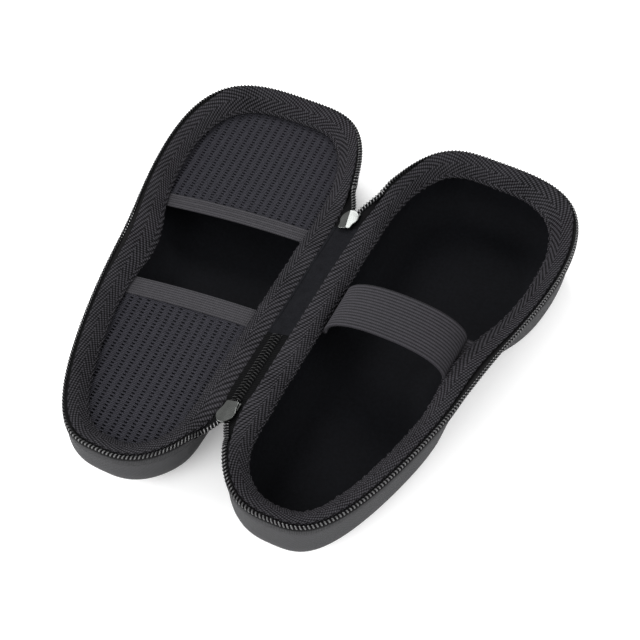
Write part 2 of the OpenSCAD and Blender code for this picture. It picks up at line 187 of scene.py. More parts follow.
def cloth(name, along, across, size, place):
    """A grid of cloth laid point by point, with a UV map in metres: u along and v across."""
    bpy.ops.object.select_all(action="DESELECT")
    bpy.ops.mesh.primitive_grid_add(x_subdivisions=along, y_subdivisions=across, size=2)
    piece = bpy.context.object
    piece.name = piece.data.name = name
    mesh = piece.data
    flat = np.empty(len(mesh.vertices) * 3)
    mesh.vertices.foreach_get("co", flat)
    u, v = (flat[0::3] + 1) / 2, (flat[1::3] + 1) / 2
    corner = np.empty(len(mesh.loops), int)
    mesh.loops.foreach_get("vertex_index", corner)
    uv = np.column_stack([u[corner] * size[0], v[corner] * size[1]])
    mesh.uv_layers[0].data.foreach_set("uv", uv.ravel())
    mesh.vertices.foreach_set("co", np.ascontiguousarray(place(u, v)).ravel())
    mesh.update()
    return piece


def close(piece, fill=True, smooth=True):
    """Merge a piece's seams, close its ends and turn its faces outwards."""
    bpy.ops.object.mode_set(mode="EDIT")
    bpy.ops.mesh.select_all(action="SELECT")
    bpy.ops.mesh.remove_doubles(threshold=2e-6)
    if fill:
        bpy.ops.mesh.fill_holes(sides=0)
        bpy.ops.mesh.select_all(action="SELECT")
    bpy.ops.mesh.normals_make_consistent(inside=False)
    bpy.ops.object.mode_set(mode="OBJECT")
    if smooth:
        bpy.ops.object.shade_smooth()


def section(points, v):
    """Columns of a section's points at shares v of its length."""
    points = np.array(points, float)
    run = runs(points[:, [0, 2]])
    return [np.interp(v * run[-1], run, column) for column in points.T]


def girth(points):
    """The length along a section."""
    return runs(np.array(points, float)[:, [0, 2]])[-1]


def swept(name, half, outline, along, across):
    """A closed wall: a section swept once round the rim."""
    def place(u, v):
        inset, off, z = section(outline, v)
        return settle(half, layer(turn_at(u), inset, off, z))

    piece = cloth(name, along, across, (rim_length * MM, girth(outline) * MM), place)
    close(piece)
    return piece


class Yarn:
    """A number or colour on its way through a material, with arithmetic."""

    def __init__(self, tree, socket):
        self.tree, self.socket = tree, socket

    def node(self, kind, settings=None, **sockets):
        made = self.tree.nodes.new(kind)
        for key, value in (settings or {}).items():
            setattr(made, key, value)
        for key, value in sockets.items():
            slot = made.inputs[int(key[1:]) if key[1:].isdigit() else key.replace("_", " ")]
            if isinstance(value, Yarn):
                self.tree.links.new(value.socket, slot)
            else:
                slot.default_value = value
        return made

    def get(self, kind, settings=None, out=0, **sockets):
        return Yarn(self.tree, self.node(kind, settings, **sockets).outputs[out])

    def math(self, operation, *others):
        numbers = {f"i{k + 1}": other for k, other in enumerate(others)}
        return self.get("ShaderNodeMath", {"operation": operation}, i0=self, **numbers)

    def __add__(self, other):
        return self.math("ADD", other)

    def __sub__(self, other):
        return self.math("SUBTRACT", other)

    def __rsub__(self, other):
        return self.get("ShaderNodeMath", {"operation": "SUBTRACT"}, i0=other, i1=self)

    def __mul__(self, other):
        return self.math("MULTIPLY", other)

    def __truediv__(self, other):
        return self.math("DIVIDE", other)

    __radd__, __rmul__ = __add__, __mul__

    def mix(self, low, high):
        """A colour between low and high, by this value."""
        settings = {"data_type": "RGBA"}
        return self.get("ShaderNodeMix", settings, out=2, i0=self, i6=(*low, 1), i7=(*high, 1))


def noise(here, scale, detail):
    """Cloudy unevenness."""
    return here.get("ShaderNodeTexNoise", Vector=here, Scale=scale, Detail=detail)


def stripes(value, pitch):
    """Soft stripes between 0 and 1, one to each pitch in metres."""
    return (value * (2 * math.pi / pitch)).math("SINE") * 0.5 + 0.5


def finish(name, roughness, specular, metallic=0.0):
    """A new material, with the run and rise of its UV map and the object coordinates."""
    look = bpy.data.materials.new(name)
    look.use_nodes = True
    tree = look.node_tree
    shader = tree.nodes["Principled BSDF"]
    shader.inputs["Roughness"].default_value = roughness
    shader.inputs["Metallic"].default_value = metallic
    shader.inputs["Specular IOR Level"].default_value = specular
    where = tree.nodes.new("ShaderNodeTexCoord")
    split = tree.nodes.new("ShaderNodeSeparateXYZ")
    tree.links.new(where.outputs["UV"], split.inputs[0])
    run, rise = Yarn(tree, split.outputs[0]), Yarn(tree, split.outputs[1])
    return look, run, rise, Yarn(tree, where.outputs["Object"])


def apply_look(look, colour, height=None, distance=0.0, rough=None):
    """Link a material's colour, relief and roughness to its shader."""
    tree = look.node_tree
    shader = tree.nodes["Principled BSDF"]
    tree.links.new(colour.socket, shader.inputs["Base Color"])
    if rough is not None:
        tree.links.new(rough.socket, shader.inputs["Roughness"])
    if height is not None:
        bump = height.node("ShaderNodeBump", Height=height, Distance=distance, Strength=1.0)
        tree.links.new(bump.outputs[0], shader.inputs["Normal"])


shell_twill, run, rise, here = finish("shell_twill", 0.7, specular=0.2)
twill = stripes(run + rise, 0.0008)
cross = stripes(run - rise, 0.0021)
patch = noise(here, 38.0, 4.0)
fuzz = noise(here, 900.0, 2.0)
tone = twill * 0.34 + cross * 0.12 + patch * 0.3 + fuzz * 0.3
colour = tone.mix((0.006, 0.006, 0.007), (0.055, 0.055, 0.058))
apply_look(shell_twill, colour, twill * 0.7 + fuzz * 0.6, 0.0002)


def row(off, z):
    """A point of a wall's section: its inset at the rim, beside the hinge, and its height."""
    return shell_inset + off, off, z


def mould_curve(half, wall, steps):
    """The rounded edge from a half's side to its floor, a wall's thickness inside."""
    depth, draft, inner = depths[half], drafts[half], corners[half] - wall
    rows = []
    for a in np.radians(np.linspace(0, 90, steps)):
        down = depth - corners[half] + inner * math.sin(a)
        rows.append(row(wall + draft * down / depth + inner * (1 - math.cos(a)), -down))
    return rows


def shell(half):
    """One closed moulded wall: outside floor, rounded edge, side, rolled rim and inside."""
    depth, draft = depths[half], drafts[half]
    outline = [row(floor_reach, -depth), *mould_curve(half, 0, 13)[::-1]]
    for down in np.linspace(depth - corners[half], rim_drop + rim_roll, 7)[1:]:
        outline.append(row(draft * down / depth, -down))
    rim_off = draft * rim_drop / depth
    for a in np.radians((60, 30, 0)):
        rolled_in, rolled_up = rim_roll * (1 - math.sin(a)), rim_roll * (1 - math.cos(a))
        outline.append(row(rim_off + rolled_in, -rim_drop - rolled_up))
    outline.append(row(rim_off + shell_wall, -rim_drop))
    outline += [*mould_curve(half, shell_wall, 9), row(floor_reach, shell_wall - depth)]
    piece = swept(f"{half}_shell_twill", half, outline, 300, 72)
    mesh = piece.data
    for face in mesh.polygons:
        if abs(face.normal.z) > 0.7:
            for loop in face.loop_indices:
                spot = mesh.vertices[mesh.loops[loop].vertex_index].co.xy
                mesh.uv_layers[0].data[loop].uv = spot
    piece.data.materials.append(shell_twill)
    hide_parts(f"{half}_shell")
    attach(piece, half)


shell("base")
shell("lid")

# The linings. A thin black knit is glued over the inside of each shell, from under the
# collar down to the moulded floor.
lining_knit, run, rise, here = finish("lining_knit", 0.8, specular=0.06)
fuzz = noise(here, 700.0, 3.0)
patch = noise(here, 30.0, 3.0)
colour = (fuzz * 0.6 + patch * 0.4).mix((0.001, 0.001, 0.0012), (0.0065, 0.007, 0.009))
apply_look(lining_knit, colour, fuzz, 0.0001)
lining_inside, lining_outside, lining_top = 3.9, 3.1, 8.1


def lining(half):
    """One closed thin wall inside the shell."""
    depth, outline = depths[half], []
    for wall, order in ((lining_inside, -1), (lining_outside, 1)):
        rows = [row(wall + drafts[half] * lining_top / depth, -lining_top)]
        rows += [*mould_curve(half, wall, 10), row(floor_reach, wall - depth)]
        outline += rows[::order]
    piece = swept(f"{half}_lining_knit", half, outline, 240, 56)
    piece.data.materials.append(lining_knit)
    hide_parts(f"{half}_lining")
    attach(piece, half)


lining("base")
lining("lid")

# The collars. Herringbone webbing is folded over a soft edge and sewn all round the mouth
# of each half, and its inner edge is turned under. It dips where the hinge cloth joins.
herringbone, run, rise, here = finish("herringbone", 0.85, specular=0.05)
stripe_width, rib_pitch, rib_slope, strand_slope = 0.0043, 0.0037, 2.66, 0.37
apex = (rise / stripe_width).math("PINGPONG", 1.0) * stripe_width
rib = ((run - apex * rib_slope) * (math.pi / rib_pitch)).math("SINE")
rib = rib.math("ABSOLUTE").math("POWER", 1.3)
strand = stripes(run * 0.8 + apex * strand_slope, 0.001)
patch = noise(here, 60.0, 4.0)
fuzz = noise(here, 1000.0, 2.0)
# The woven stripes are the webbing's own. The near black in the grooves between the ribs is painted
# shade, and the lighter rib tops are painted light.
tone = (rib * 0.8 + 0.1) * (strand * 0.85 + 0.3) + fuzz * 0.36 + patch * 0.34 - 0.35
colour = tone.mix((0.0008, 0.0008, 0.001), (0.056, 0.054, 0.061))
apply_look(herringbone, colour, rib + strand * 0.8 + fuzz * 0.4, 0.0005)
collar_inset, collar_width = 2.7, 8.3
collar_top, collar_fall, collar_swell, collar_step = -1.3, 5.7, 1.1, -6.25
dip_width, dip_depth = 3.2, 3.6
hinge_lap, hinge_lap_past_panel = 2.2, 0.9


def dip(x):
    """How far along the dip beside the hinge a point is, from 0 to 1."""
    return np.clip((wall_x - x) / dip_width, 0, 1)


def edge_shift(x, y):
    """How far the webbing is drawn in: inwards at the pinch, and outwards over the head end."""
    return 1.3 * bell(y, -4, 20) * (x > 0), ease(ramp(y, 82, 14))


def collar(half, seed):
    """The webbing's closed section, swept round the mouth. Its outer edge laps the hinge."""
    outline = []
    for a in np.linspace(0.04, 0.96, 17):
        z = collar_top - collar_fall * a + collar_swell * math.sin(math.pi * a)
        outline.append((collar_width * a, max(0, 1 - collar_width * a / 3) ** 1.3, z))
    outline += [(8.35, 0, -7.05), (8.3, 0, -7.5), (7.9, 0, -7.85), (6.6, 0, -7.9), (4.6, 0, -7.9)]
    outline += [(2.3, 0, -7.85), (1.9, 0, -6.5), (0.5, 0, collar_step), (0.1, 0.45, -5.7)]
    outline += [(0.0, 1, -2.2), (0.06, 1, -1.6), outline[0]]
    starts = np.random.default_rng(seed).uniform(0, 2 * math.pi, 12)

    def waves(u, first, counts, lean=0):
        angles = [2 * math.pi * k * u + starts[first + i] + lean for i, k in enumerate(counts)]
        return sum(np.sin(angle) for angle in angles)

    def place(u, v):
        a, lap, z = section(outline, v)
        t = turn_at(u)
        x0, y0 = rim_xy(t, 0)
        share = np.clip(a / collar_width, 0, 1)
        on_hinge = dip(x0)
        sunk = dip_depth * (1 - share) * ramp(z, collar_step, 4) + 0.35 * lap
        z = z - sunk * on_hinge
        ripple = waves(u, 0, (7, 13, 23, 41))
        pucker = waves(u, 4, (57, 83, 109), 2.2 * share)
        z = z + (0.07 * ripple + 0.05 * pucker) * np.sin(math.pi * share) * (z > -7.4)
        teeth = waves(u, 7, (97, 131, 163))
        a = a + (0.07 * ripple + 0.14 * teeth) * ramp(share, 0.75, 0.25)
        drawn_in, over_head = edge_shift(x0, y0)
        z = z + 0.8 * over_head * (1 - 0.6 * share) * ramp(z, collar_step, 3)
        over_strap = np.exp(-(((y0 - 0.5) / 11.5) ** 6))
        z = z + 0.55 * over_strap * share * ramp(z, -7.6, 1.5)
        inset = collar_inset + a + drawn_in - 1.15 * over_head * (1 - share)
        past_panel = ramp(y0, 42, 6) + ramp(-y0, 54, 6)
        lapped = (hinge_lap + hinge_lap_past_panel * past_panel) * lap * on_hinge
        return settle(half, layer(t, inset, a - lapped, z))

    toward = 1 if half == "base" else -1
    size = (toward * rim_length * MM, girth(outline) * MM)
    piece = cloth(f"{half}_collar", 640, 46, size, place)
    close(piece, fill=False)
    piece.data.materials.append(herringbone)
    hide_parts(f"{half}_binding")
    if half == "base":
        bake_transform(piece)
    else:
        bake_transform(piece)


collar("base", 3)
collar("lid", 5)

# The zip tapes. A flat black tape is sewn under the webbing's outer edge, carries the coil
# on its fold and covers the shell's edge as a smooth band.
tape_weave, run, rise, here = finish("tape_weave", 0.85, specular=0.15)
weave = stripes(run, 0.0009)
fuzz = noise(here, 900.0, 2.0)
tone = weave * 0.4 + fuzz * 0.5
past_fold = rise.get(
    "ShaderNodeMapRange", {"interpolation_type": "SMOOTHSTEP"}, Value=rise,
    From_Min=0.0056, From_Max=0.0068, To_Min=0.12, To_Max=1.0,
)
colour = (tone * past_fold).mix((0.003, 0.003, 0.0032), (0.06, 0.06, 0.063))
apply_look(tape_weave, colour, weave + fuzz * 0.5, 0.0001)
coil_head_y, coil_tail_y = 66.0, -78.0
tape_wall, tape_dip = 0.45, 4.2


def rim_share(y, free):
    """The share of the rim's length at a place y on the free or the hinge side."""
    side = (turn_fine < 180) if free else (turn_fine > 180)
    run_side, y_side = rim_run[side] / rim_length, rim_fine[side, 1]
    order = np.argsort(y_side)
    return float(np.interp(y, y_side[order], run_side[order]))


coil_start = rim_share(coil_head_y, False) - 1
coil_end = rim_share(coil_tail_y, False)


def on_coil_line(u):
    """The turn at a share u of the open zip, from the upper slider to the lower one."""
    s = coil_start + (coil_end - coil_start) * u
    return np.where(s < 0, turn_at(s + 1) - 360, turn_at(s))


def zip_tape(half):
    """A closed thin band: under the webbing, round the fold and down to the shell."""
    face = [(5.4, 5.1, -4.2), (3.9, 3.6, -3.1), (2.5, 2.2, -2.4), (1.25, 1.0, -2.25)]
    face += [(0.6, 0.45, -2.6), (0.45, 0.2, -3.7), (0.55, 0.1, -5.2), (0.75, 0.0, -6.7)]
    back_face = [(i + tape_wall, w + tape_wall, z - 0.3) for i, w, z in face][::-1]
    outline = [*face, *back_face, face[0]]

    def place(u, v):
        inset, off, z = section(outline, v)
        t = on_coil_line(u)
        z = z - tape_dip * dip(rim_xy(t, 0)[0]) * ramp(z, -6.7, 3.4)
        x, y = rim_xy(t, inset)
        low = ramp(-z, 3.5, 3)
        points = layer(t, inset, off, z)
        points[:, 0] = points[:, 0] * low + (x - pinch(x, y, -z)) * (1 - low)
        return settle(half, points)

    piece = cloth(f"{half}_tape_band", 420, 20, (rim_length * MM, girth(outline) * MM), place)
    close(piece)
    piece.data.materials.append(tape_weave)
    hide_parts(f"{half}_zip_tape")
    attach(piece, half)


zip_tape("base")
zip_tape("lid")

# The zip coils. A stiff nylon strand is wound into small flat loops, one every 1.6 mm, round
# a filler cord and sewn along the fold of each tape.
coil_nylon, run, rise, here = finish("coil_nylon", 0.3, specular=0.8)
apply_look(coil_nylon, noise(here, 400.0, 2.0).mix((0.008, 0.008, 0.0085), (0.03, 0.03, 0.032)))
filler_cord, run, rise, here = finish("filler_cord", 0.95, specular=0.04)
twist = stripes(run + rise * 0.5, 0.0008)
apply_look(filler_cord, twist.mix((0.0015, 0.0015, 0.0015), (0.006, 0.006, 0.0065)), twist, 0.0001)
loop_pitch, loop_strand = 1.6, 0.34
coil_level, coil_dip = -1.6, 4.05
long_flat, long_fade, short_fade = 22, 25, 14


def wind(name, line, half):
    """Wind loops along a line of points, round a filler cord. They stand up or lie flat."""
    spots, sides, flat = line
    run = runs(spots)
    loops = max(2, round(run[-1] / loop_pitch))

    def at(u):
        u = np.clip(u, 0, 1) * run[-1]
        centre = np.column_stack([np.interp(u, run, spots[:, k]) for k in range(3)])
        side = np.column_stack([np.interp(u, run, sides[:, k]) for k in range(3)])
        return centre, side / np.linalg.norm(side, axis=1)[:, None], np.interp(u, run, flat)

    def ring(centre, side, reach, tall, turn):
        out, up = (reach * np.cos(turn))[:, None], (tall * np.sin(turn))[:, None]
        return settle(half, centre + side * out + [0, 0, 1] * up)

    def loop(u, v):
        turn, spin = 2 * math.pi * loops * u, 2 * math.pi * v
        centre, side, lying = at(u + loop_strand * np.sin(spin) / run[-1])
        round_strand = loop_strand * np.cos(spin)
        reach, tall = 0.4 + 0.47 * lying + round_strand, 0.85 - 0.25 * lying + round_strand
        return ring(centre, side, reach, tall, turn)

    def filler(u, v):
        centre, side, lying = at(u)
        reach, tall = 0.42 + 0.35 * lying, 0.8 - 0.3 * lying
        return ring(centre - [0, 0, 0.16], side, reach, tall, 2 * math.pi * v)

    coil = cloth(f"{name}_loops", loops * 10, 5, (run[-1] * MM, 0.002), loop)
    cord = cloth(f"{name}_filler", max(8, loops * 2), 8, (run[-1] * MM, 0.0035), filler)
    close(cord)
    looks = ((coil, coil_nylon, "coil_nylon"), (cord, filler_cord, "tape_cloth"))
    for piece, look, slot_name in looks:
        piece.data.materials.append(look)
    return coil, cord


def rim_line(half):
    """The open coil's line round the rim, and the directions square to it."""
    u = np.linspace(0, 1, 1500)
    t = on_coil_line(u)
    low = coil_level - coil_dip * dip(rim_xy(t, 0)[0])
    line = []
    for inset in (1.1, 0.1):
        x, y = rim_xy(t, inset)
        line.append(np.column_stack([x - pinch(x, y, 1.4), y, low]))
    total = (coil_end - coil_start) * rim_length
    long_end, short_end = (u, 1 - u) if half == "lid" else (1 - u, u)
    flat = 1 - ramp(long_end * total, long_flat, long_fade)
    flat = flat + 1 - ramp(short_end * total, 0, short_fade)
    return line[0], line[1] - line[0], flat


for half in ("base", "lid"):
    for piece in wind(f"{half}_zip_coil", rim_line(half), half):
        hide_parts(f"{half}_zip_coil")
        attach(piece, half)

# The hinge cloth. A napped black panel joins the two halves. A seam strip on each side is
# sewn under the collar and folds over the edge into the panel.
hinge_nap, run, rise, here = finish("hinge_nap", 0.95, specular=0.05)
weave = stripes(run * 1.2 + rise, 0.0011)
pile = noise(here, 260.0, 4.0)
fuzz = noise(here, 1300.0, 2.0)
tone = weave * 0.25 + pile * 0.45 + fuzz * 0.4
apply_look(hinge_nap, tone.mix((0.0005, 0.0005, 0.0008), (0.0105, 0.0108, 0.013)), pile + fuzz * 0.6, 0.0003)
hinge_x, hinge_low = -34.0, -6.0
hinge_slope = math.radians(19.5)
hinge_cos, hinge_sin = math.cos(hinge_slope), math.sin(hinge_slope)
strip_width = 12.3
panel_start, panel_end = -21.0, 43.0
panel_width, panel_half_wall, panel_sag = strip_width - 0.5, 0.48, 0.25
hinge_cloth_wall, seam_reach = 1.15, 1.7


def on_strip(x, y, z):
    """From the hinge strip's own plane to its place on the table."""
    x, y, z = np.broadcast_arrays(x, y, z)
    out, up = x * hinge_cos - z * hinge_sin, x * hinge_sin + z * hinge_cos
    return np.column_stack([hinge_x + out, y, depths["base"] + hinge_low + up]) * MM


def hinge_half(name, half, start, end, reach, look, node):
    """One half of the hinge: from under a collar, round the fold and out to the middle."""
    tucked = np.array([(-29.9, -6.1), (-31.6, -6.1), (-33.0, -6.06), (hinge_x, hinge_low)])
    if half == "base":
        middle, way = tucked + [0, depths["base"]], -1
    else:
        middle, way = tucked * [-1, 1] + [lid_offset_x, depths["lid"]], 1
    out = np.linspace(0.15, 1, 12)[:, None] * reach
    middle = np.vstack([middle, middle[-1] + way * out * [hinge_cos, hinge_sin]])
    slope = np.gradient(middle, axis=0)
    slope /= np.linalg.norm(slope, axis=1)[:, None]
    side = np.column_stack([-slope[:, 1], slope[:, 0]]) * hinge_cloth_wall / 2
    if side[0, 1] < 0:
        side = -side
    profile = np.vstack([middle + side, (middle - side)[::-1], (middle + side)[:1]])
    outline = [(x, 0, z) for x, z in profile]
    long, round_it = end - start, girth(outline)

    def place(u, v):
        x, _, z = section(outline, v)
        return np.column_stack([x, start + long * u, z]) * MM

    piece = cloth(name, max(12, int(long * 1.2)), 40, (long * MM, round_it * MM), place)
    close(piece)
    piece.data.materials.append(look)
    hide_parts(node)
    round_it / 2 > 10
    if half == "base":
        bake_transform(piece)
    else:
        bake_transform(piece)


for half in ("base", "lid"):
    seam_name = f"hinge_seam_{half}_side"
    hinge_half(seam_name, half, panel_start, panel_end, seam_reach, hinge_nap, f"{half}_hinge_seam")


def rounded(from_edge, radius):
    """A band's thickness near its edge, from 0 to 1."""
    return np.sqrt(np.clip(1 - (1 - np.clip(from_edge / radius, 0, 1)) ** 2, 0, 1))


def panel_face(u, share, side):
    """A point of the panel: across the strip, sagging a little, with soft unevenness."""
    x, y = -0.25 - panel_width * share, panel_start + (panel_end - panel_start) * u
    thick = panel_half_wall * rounded(np.minimum(share, 1 - share) * strip_width, 0.5)
    wave = np.sin(y / 3.1 + x / 2) + np.sin(y / 5.3 + 1 - x / 3) + 0.6 * np.sin(y / 1.7 + 2 + x)
    return on_strip(x, y, side * thick + (0.12 * wave - panel_sag) * np.sin(math.pi * share))


def there_and_back(v):
    """A share that runs across a band's upper face and back across its lower one."""
    return np.where(v < 0.5, v * 2, 2 - v * 2)


def band(name, along, across, width, length, place):
    """A closed band whose section runs evenly across its two faces."""
    def even(u, v):
        return place(u, there_and_back(v), np.where(v < 0.5, 1.0, -1.0))

    piece = cloth(name, along, across, (length * MM, 2 * width * MM), even)
    close(piece)
    return piece


panel = band("hinge_panel_cloth", 90, 48, panel_width, panel_end - panel_start, panel_face)
panel.data.materials.append(hinge_nap)
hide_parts("hinge_panel")
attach(panel, "hinge_strip")

# The closed chain. Below the panel the zip's tapes bridge the hinge. The two coils on them
# are locked together, each one's loops between the other's.
plain_tape, run, rise, here = finish("plain_tape", 0.95, specular=0.03)
weave = stripes(run, 0.0009)
fuzz = noise(here, 900.0, 2.0)
colour = (weave * 0.5 + fuzz * 0.4).mix((0.001, 0.001, 0.0011), (0.007, 0.007, 0.0075))
apply_look(plain_tape, colour, weave + fuzz * 0.5, 0.0001)
chain_start, chain_end, chain_tape_reach = -57.1, panel_start - 0.1, 5.9
for half in ("base", "lid"):
    tape_name, tape_node = f"chain_tape_{half}_half", f"chain_tape_{half}_side"
    hinge_half(tape_name, half, chain_start, chain_end, chain_tape_reach, plain_tape, tape_node)

# The chain's loops are the zip coils' own nylon, painted much darker than coil_nylon: painted shade
# where the chain lies low in the hinge between the halves.
coil_nylon_painted_shade, run, rise, here = finish("coil_nylon_painted_shade", 0.4, specular=0.18)
apply_look(coil_nylon_painted_shade, noise(here, 400.0, 2.0).mix((0.001, 0.001, 0.001), (0.007, 0.007, 0.0075)))
coil_low, coil_high = -67.2, -21.5
chain_strand, chain_loop_reach, chain_loop_tall = 0.32, 1.22, 0.62
chain_apart, chain_lift = 1.05, 0.75


def chain_coil(side_name, way):
    """One coil of the closed chain, half a loop out of step with the other."""
    long = coil_high - coil_low
    loops = round(long / loop_pitch)

    def place(u, v):
        turn = 2 * math.pi * loops * u + (math.pi if way < 0 else 0)
        spin = 2 * math.pi * v
        round_strand = chain_strand * np.cos(spin)
        out = chain_apart + (chain_loop_reach + round_strand) * np.cos(turn)
        y = coil_low + long * u + chain_strand * np.sin(spin)
        up = chain_lift + (chain_loop_tall + round_strand) * np.sin(turn)
        return on_strip(-strip_width / 2 + way * out, y, up)

    piece = cloth(f"chain_coil_{side_name}_loops", loops * 10, 5, (long * MM, 0.002), place)
    close(piece)
    piece.data.materials.append(coil_nylon_painted_shade)
    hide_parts(f"chain_coil_{side_name}_side")
    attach(piece, "hinge_strip")


chain_coil("base", 1)
chain_coil("lid", -1)

# The free ends of the zip. Between the rim and each slider the coils swing in to the
# chain on a bare stretch of tape, which is bent to the slope of the hinge.
mouth_reach, tape_tuck, tape_half_wall = 4.75, 2.1, 0.32


def free_end(half, end, mouth, tape_from, tape_to):
    """The coil's line from the rim into a slider, and the tape that carries it."""
    toward = 1 if half == "lid" else -1
    inward = np.sign(tape_from - mouth)
    spots, sides, flat = rim_line(half)
    last, before = (0, 12) if end == "head" else (-1, -13)
    start, lead = spots[last], spots[last] - spots[before]
    lead = lead / np.linalg.norm(lead)
    goal_z = hinge_low + toward * mouth_reach * hinge_sin + chain_lift
    goal = np.array([hinge_x - mouth_reach * hinge_cos, mouth, goal_z])
    stretch = np.linalg.norm(goal - start) * 0.7
    arrive = np.array([0, inward, 0])
    w = np.linspace(0, 1, 40)[:, None]
    line = (2 * w**3 - 3 * w**2 + 1) * start + (w**3 - 2 * w**2 + w) * stretch * lead
    line = line + (3 * w**2 - 2 * w**3) * goal + (w**3 - w**2) * stretch * arrive
    slope = np.gradient(line, axis=0)
    square = np.column_stack([slope[:, 1], -slope[:, 0], 0 * slope[:, 0]])
    square *= np.sign(square[0] @ sides[last])
    order = np.argsort(line[:, 1])
    coil_y, coil_out = line[order, 1], (hinge_x - line[order, 0]) / hinge_cos
    coil_over = line[order, 2] - hinge_low - toward * np.maximum(coil_out, 0) * hinge_sin

    def tape(u, v):
        y = tape_from + (tape_to - tape_from) * u
        joined = ramp(y * inward, mouth * inward, 2)
        edge = np.interp(y, coil_y, coil_out) + 0.2 + 1.1 * joined
        past = ramp((line[0, 1] - y) * inward, 0, 3.0)
        edge = edge * (1 - past) - 0.8 * past
        share = there_and_back(v)
        thin = np.clip(np.sin(math.pi * np.clip(share, 0.02, 0.98)) * 6, 0, 1)
        over = np.where(v < 0.5, tape_half_wall, -tape_half_wall) * thin
        across = -tape_tuck + (edge + tape_tuck) * share
        x = hinge_x - np.where(across > 0, across * hinge_cos, across)
        z = hinge_low - 0.05 + np.where(across > 0, toward * across * hinge_sin, 0)
        lift = ramp(np.interp(y, coil_y, coil_over), 0.95, 1) * share
        return settle(half, np.column_stack([x, y, z + over + lift]))

    size = (abs(tape_to - tape_from) * MM, 0.012)
    strip = cloth(f"{half}_{end}_end_tape", 30, 24, size, tape)
    close(strip)
    strip.data.materials.append(filler_cord)
    lying = flat[last] + (1 - flat[last]) * w[:, 0]
    for piece in (strip, *wind(f"{half}_{end}_end_coil", (line, square, lying), half)):
        if half == "base":
            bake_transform(piece)
        else:
            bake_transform(piece)


for half in ("base", "lid"):
    free_end(half, "head", mouth=52.2, tape_from=42.2, tape_to=68.0)
    free_end(half, "tail", mouth=-67.6, tape_from=-56.6, tape_to=-80.0)

# The two sliders, die-cast in zinc: a plate above and a plate below the chain, joined by a
# wedge between the coils, with turned-in side rims and a bridge that holds the pull.
slider_zinc, run, rise, here = finish("slider_zinc", 0.3, specular=0.5, metallic=1.0)
grain = noise(here, 220.0, 4.0)
fine = noise(here, 1500.0, 2.0)
colour = grain.mix((0.075, 0.078, 0.075), (0.135, 0.14, 0.135))
apply_look(slider_zinc, colour, fine, 0.000005, rough=grain * 0.08 + 0.2)
lower_slider_y, upper_slider_y = -62.35, 49.05
plate_outline = [(-5.4, 0), (-5.4, 2.3), (-5.1, 3.0), (-4.0, 3.15), (-2.8, 3.15), (-1.6, 3.5)]
plate_outline += [(-0.4, 4.05), (0.9, 4.3), (2.3, 4.15), (3.6, 3.5), (4.7, 2.5), (5.5, 1.3), (5.7, 0)]
plate_half_width, facet_slant = 4.3, 0.25


def solid(name, size, centre):
    """A block of stock, to be shaped."""
    bpy.ops.object.select_all(action="DESELECT")
    bpy.ops.mesh.primitive_cube_add(size=1)
    block = bpy.context.object
    block.name = block.data.name = name
    for vertex in block.data.vertices:
        vertex.co = Vector([vertex.co[k] * size[k] + centre[k] for k in range(3)]) * MM
    return block


def round_over(piece, width, segments=2, angle=35):
    """Round a piece's sharp edges."""
    bevel = piece.modifiers.new("round_over", "BEVEL")
    bevel.width = width * MM
    bevel.segments = segments
    bevel.limit_method = "ANGLE"
    bevel.angle_limit = math.radians(angle)
    bpy.context.view_layer.objects.active = piece
    bpy.ops.object.select_all(action="DESELECT")
    piece.select_set(True)
    bpy.ops.object.modifier_apply(modifier=bevel.name)
    bpy.ops.object.shade_smooth_by_angle(angle=math.radians(angle - 23))


def plate(name, top, bottom, ridge=0, lean=0, shift=0):
    """A shield-shaped plate: wide round head, narrower tail, two facets that meet in a ridge."""
    bpy.ops.object.select_all(action="DESELECT")
    bpy.ops.mesh.primitive_circle_add(vertices=48, radius=1, fill_type="NGON")
    piece = bpy.context.object
    piece.name = piece.data.name = name
    along = runs(np.array(plate_outline))
    for vertex in piece.data.vertices:
        turn = math.atan2(vertex.co.x, -vertex.co.y) / math.pi
        y, half = (np.interp(abs(turn) * along[-1], along, side) for side in zip(*plate_outline))
        vertex.co = Vector((math.copysign(half, turn), y, bottom)) * MM
    bpy.ops.object.mode_set(mode="EDIT")
    bpy.ops.mesh.select_all(action="SELECT")
    lift = {"value": (0, 0, (top - bottom) * MM)}
    bpy.ops.mesh.extrude_region_move(TRANSFORM_OT_translate=lift)
    bpy.ops.mesh.inset(thickness=0.5 * MM)
    bpy.ops.mesh.select_all(action="SELECT")
    bpy.ops.mesh.bisect(plane_co=(0, 0, 0), plane_no=(1, facet_slant, 0))
    bpy.ops.mesh.select_all(action="DESELECT")
    bpy.ops.object.mode_set(mode="OBJECT")
    close(piece, fill=False, smooth=False)
    for vertex in piece.data.vertices:
        x, y, z = vertex.co / MM
        if abs(z - top) < 1e-4:
            off = abs(x + facet_slant * y) / 4
            crest = math.copysign(ridge, top) * max(0, 1 - off)
            vertex.co.z += (crest + lean * (plate_half_width - x)) * MM
        vertex.co.y += shift * MM
    return piece


def assemble(parts, y, turned=False, drop=0):
    """Join parts into one zinc piece and set it in its place on the strip."""
    bpy.ops.object.select_all(action="DESELECT")
    for part in parts:
        part.select_set(True)
    piece = parts[0]
    bpy.context.view_layer.objects.active = piece
    bpy.ops.object.join()
    spots = np.array([vertex.co for vertex in piece.data.vertices]) / MM
    if turned:
        spots[:, :2] *= -1
    spots = on_strip(spots[:, 0] - strip_width / 2, spots[:, 1] + y, spots[:, 2] - drop)
    piece.data.vertices.foreach_set("co", spots.ravel())
    piece.data.update()
    piece.data.materials.clear()
    piece.data.materials.append(slider_zinc)
    return piece


